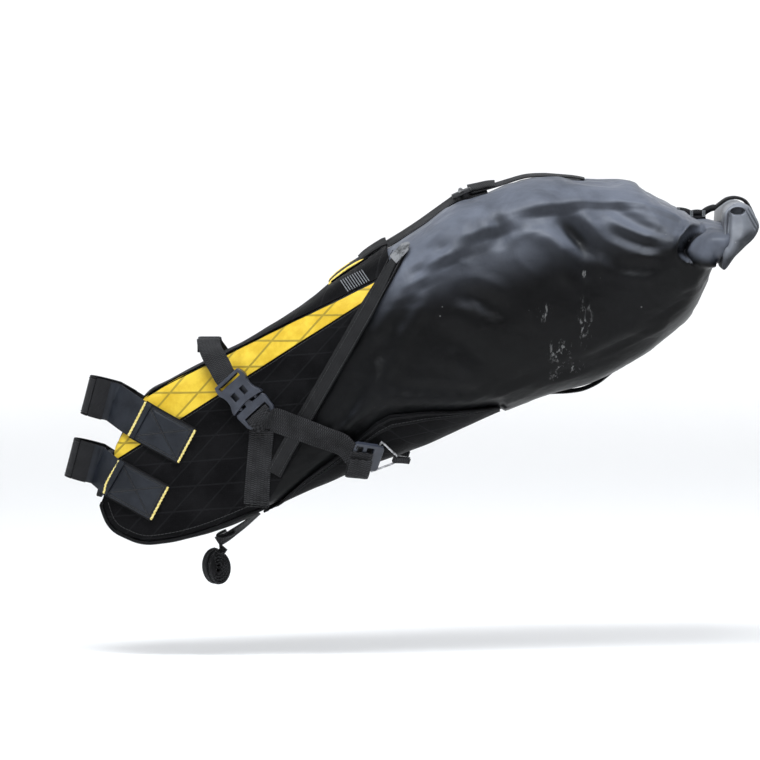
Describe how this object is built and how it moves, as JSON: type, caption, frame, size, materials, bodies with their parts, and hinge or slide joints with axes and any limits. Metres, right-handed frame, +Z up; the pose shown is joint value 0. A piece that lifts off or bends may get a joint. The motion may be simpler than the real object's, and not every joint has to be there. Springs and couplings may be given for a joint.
{
  "type": "saddle bag",
  "caption": "Bikepacking seat pack: a stuffed roll-top bag in a strapped holster that rests on a seatpost and hangs from the saddle rails.",
  "frame": {"origin": "middle line of the flat pad face that rests on the seatpost", "axes": "+X rearwards along the bicycle, +Y to the bicycle's right, +Z up; the seatpost leans back in the X-Z plane"},
  "size_m": [0.6809, 0.228, 0.4104],
  "materials": {
    "coated_fabric": "satin",
    "laminate": "matte",
    "yellow_laminate": "matte",
    "patch_fabric": "satin",
    "binding": "matte",
    "webbing": "matte",
    "hook_tape": "matte",
    "foam": "matte",
    "slate_plastic": "satin",
    "black_plastic": "satin",
    "steel_wire": "satin",
    "stiffener": "satin"
  },
  "bodies": {
    "pack": {"dry_bag": "coated_fabric", "front_panel": "laminate", "front_pad": "foam", "top_panel": "laminate", "base_panel": "laminate", "bottom_guard": "laminate", "side_panel_left": "laminate", "side_panel_right": "laminate", "top_trim_left": "yellow_laminate", "top_trim_right": "yellow_laminate", "rear_binding_left": "binding", "rear_binding_right": "binding", "piping_left": "binding", "piping_right": "binding", "side_webbing_left": "webbing", "side_webbing_right": "webbing", "rail_strap_left": "webbing", "rail_strap_right": "webbing", "buckle_female_left": "slate_plastic", "buckle_female_right": "slate_plastic", "lower_strap_left": "webbing", "lower_strap_right": "webbing", "ring_tab_left": "webbing", "ring_tab_right": "webbing", "strap_patch_upper_left": "patch_fabric", "strap_patch_upper_right": "patch_fabric", "strap_patch_lower_left": "patch_fabric", "strap_patch_lower_right": "patch_fabric", "post_strap_loop_upper": "hook_tape", "post_strap_loop_lower": "hook_tape", "top_strap_anchor": "webbing", "top_strap_front": "webbing", "top_strap_rear": "webbing", "daisy_chain": "webbing", "underside_loop": "webbing", "belly_strap": "webbing"},
    "post_strap_upper": {"post_strap_hook_upper": "hook_tape"},
    "post_strap_lower": {"post_strap_hook_lower": "hook_tape"},
    "buckle_left": {"buckle_male_left": "slate_plastic"},
    "prong_upper_left": {"prong_upper_left": "slate_plastic"},
    "prong_lower_left": {"prong_lower_left": "slate_plastic"},
    "ring_left": {"ring_left": "steel_wire"},
    "ladderlock_left": {"ladderlock_left": "black_plastic", "strap_tail_left": "webbing"},
    "buckle_right": {"buckle_male_right": "slate_plastic"},
    "prong_upper_right": {"prong_upper_right": "slate_plastic"},
    "prong_lower_right": {"prong_lower_right": "slate_plastic"},
    "ring_right": {"ring_right": "steel_wire"},
    "ladderlock_right": {"ladderlock_right": "black_plastic", "strap_tail_right": "webbing"},
    "top_buckle": {"top_buckle": "black_plastic"},
    "roll_top": {"roll_top": "coated_fabric", "roll_stiffener": "stiffener", "roll_strap": "webbing"},
    "hanging_tail": {"strap_tail_roll": "webbing", "tail_keeper": "hook_tape"}
  },
  "joints": [
    {"name": "post_strap_upper_peel", "type": "hinge", "parent": "pack", "child": "post_strap_upper", "pos_m": [0.02871, 0.02959, 0.05214], "axis": [-0.4377, 0.0515, -0.8977], "range_deg": [0, 85]},
    {"name": "post_strap_lower_peel", "type": "hinge", "parent": "pack", "child": "post_strap_lower", "pos_m": [0.00656, 0.02987, -0.00672], "axis": [-0.2852, -0.0224, -0.9582], "range_deg": [0, 75]},
    {"name": "buckle_left_release", "type": "slide", "parent": "pack", "child": "buckle_left", "axis": [0.658, -0.1361, -0.7406], "range_m": [0, 0.026]},
    {"name": "prong_upper_left_squeeze", "type": "hinge", "parent": "buckle_left", "child": "prong_upper_left", "pos_m": [0.15269, -0.05982, 0.07222], "axis": [-0.1974, -0.9803, 0.0048], "range_deg": [0, 6], "stiffness_Nm_per_rad": 0.2},
    {"name": "prong_lower_left_squeeze", "type": "hinge", "parent": "buckle_left", "child": "prong_lower_left", "pos_m": [0.13859, -0.05704, 0.05919], "axis": [0.1974, 0.9803, -0.0048], "range_deg": [0, 6], "stiffness_Nm_per_rad": 0.2},
    {"name": "ring_left_swing", "type": "hinge", "parent": "pack", "child": "ring_left", "pos_m": [0.28763, -0.05976, 0.01093], "axis": [0.281, -0.4755, 0.8336], "range_deg": [0, 18], "stiffness_Nm_per_rad": 0.1},
    {"name": "ladderlock_left_tilt", "type": "hinge", "parent": "ring_left", "child": "ladderlock_left", "pos_m": [0.26873, -0.06552, 0.01401], "axis": [0.281, -0.4755, 0.8336], "range_deg": [0, 30], "stiffness_Nm_per_rad": 0.1},
    {"name": "buckle_right_release", "type": "slide", "parent": "pack", "child": "buckle_right", "axis": [0.658, 0.1361, -0.7406], "range_m": [0, 0.026]},
    {"name": "prong_upper_right_squeeze", "type": "hinge", "parent": "buckle_right", "child": "prong_upper_right", "pos_m": [0.15269, 0.05982, 0.07222], "axis": [0.1974, -0.9803, -0.0048], "range_deg": [0, 6], "stiffness_Nm_per_rad": 0.2},
    {"name": "prong_lower_right_squeeze", "type": "hinge", "parent": "buckle_right", "child": "prong_lower_right", "pos_m": [0.13859, 0.05704, 0.05919], "axis": [-0.1974, 0.9803, 0.0048], "range_deg": [0, 6], "stiffness_Nm_per_rad": 0.2},
    {"name": "ring_right_swing", "type": "hinge", "parent": "pack", "child": "ring_right", "pos_m": [0.28763, 0.05976, 0.01093], "axis": [-0.281, -0.4755, -0.8336], "range_deg": [0, 18], "stiffness_Nm_per_rad": 0.1},
    {"name": "ladderlock_right_tilt", "type": "hinge", "parent": "ring_right", "child": "ladderlock_right", "pos_m": [0.26873, 0.06552, 0.01401], "axis": [-0.281, -0.4755, -0.8336], "range_deg": [0, 30], "stiffness_Nm_per_rad": 0.1},
    {"name": "top_buckle_tilt", "type": "hinge", "parent": "pack", "child": "top_buckle", "pos_m": [0.36193, 0, 0.27182], "axis": [0, 1, 0], "range_deg": [0, 25]},
    {"name": "roll_top_tilt", "type": "hinge", "parent": "pack", "child": "roll_top", "pos_m": [0.6015, 0, 0.223], "axis": [0, 1, 0], "range_deg": [-12, 12]},
    {"name": "hanging_tail_swing", "type": "hinge", "parent": "pack", "child": "hanging_tail", "pos_m": [0.1174, -0.004, -0.079], "axis": [0, 1, 0], "range_deg": [-40, 40]}
  ],
  "couplings": [
    {"joint": "prong_lower_left_squeeze", "follows": "prong_upper_left_squeeze", "ratio": 1},
    {"joint": "prong_lower_right_squeeze", "follows": "prong_upper_right_squeeze", "ratio": 1}
  ]
}
